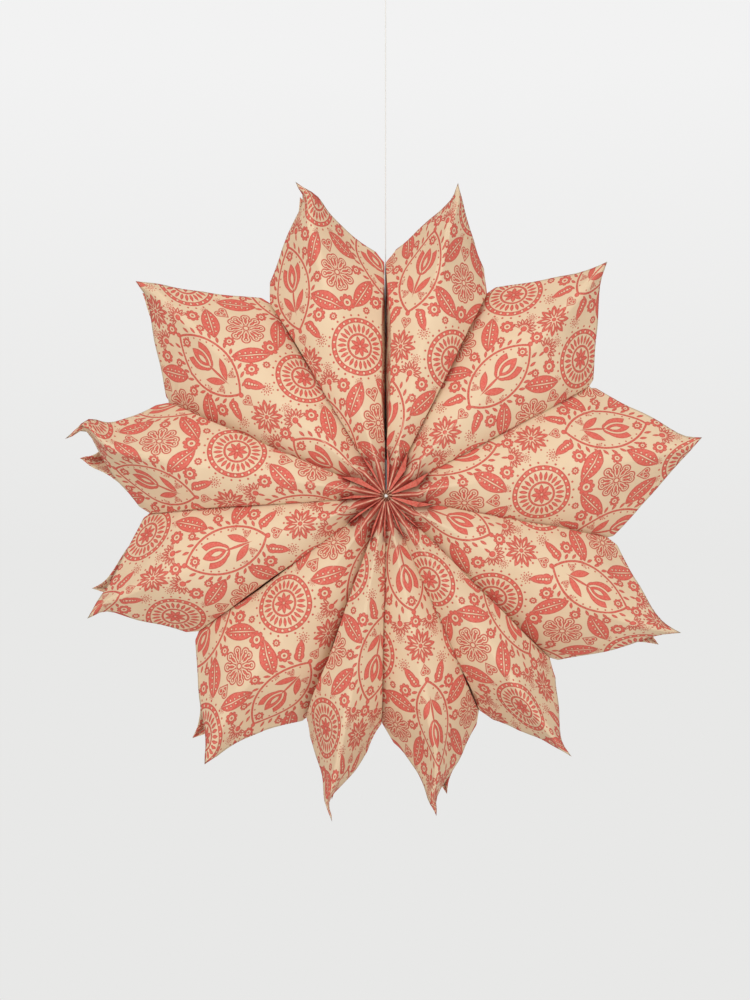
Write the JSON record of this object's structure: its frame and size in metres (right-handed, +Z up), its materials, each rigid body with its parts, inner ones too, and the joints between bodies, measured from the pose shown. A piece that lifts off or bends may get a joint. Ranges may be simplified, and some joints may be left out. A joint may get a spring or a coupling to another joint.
{
  "type": "origami star",
  "caption": "Hanging paper star made of flat printed kraft bags, glued side by side and fanned out round a hub, with V-cut mouths as points and a thread to hang it by.",
  "frame": {"origin": "top of the hanging loop, where a hook carries it", "axes": "+Z up along the thread, front of the star faces -Y, +X to the right seen from the front"},
  "size_m": [0.3726, 0.1241, 0.512],
  "materials": {
    "printed_kraft_paper": "uncoated bleached kraft, printed with one red ink outside and plain inside",
    "cotton_thread": "thin white twisted cotton"
  },
  "bodies": {
    "root": {"bag_01": "printed_kraft_paper", "bag_02": "printed_kraft_paper", "bag_03": "printed_kraft_paper", "bag_04": "printed_kraft_paper", "bag_05": "printed_kraft_paper", "bag_06": "printed_kraft_paper", "bag_07": "printed_kraft_paper", "bag_08": "printed_kraft_paper", "bag_09": "printed_kraft_paper", "bag_10": "printed_kraft_paper", "bag_11": "printed_kraft_paper", "bag_12": "printed_kraft_paper", "hanging_thread": "cotton_thread", "hub_knot": "cotton_thread", "loop_knot": "cotton_thread", "thread_loop": "cotton_thread"}
  },
  "joints": []
}
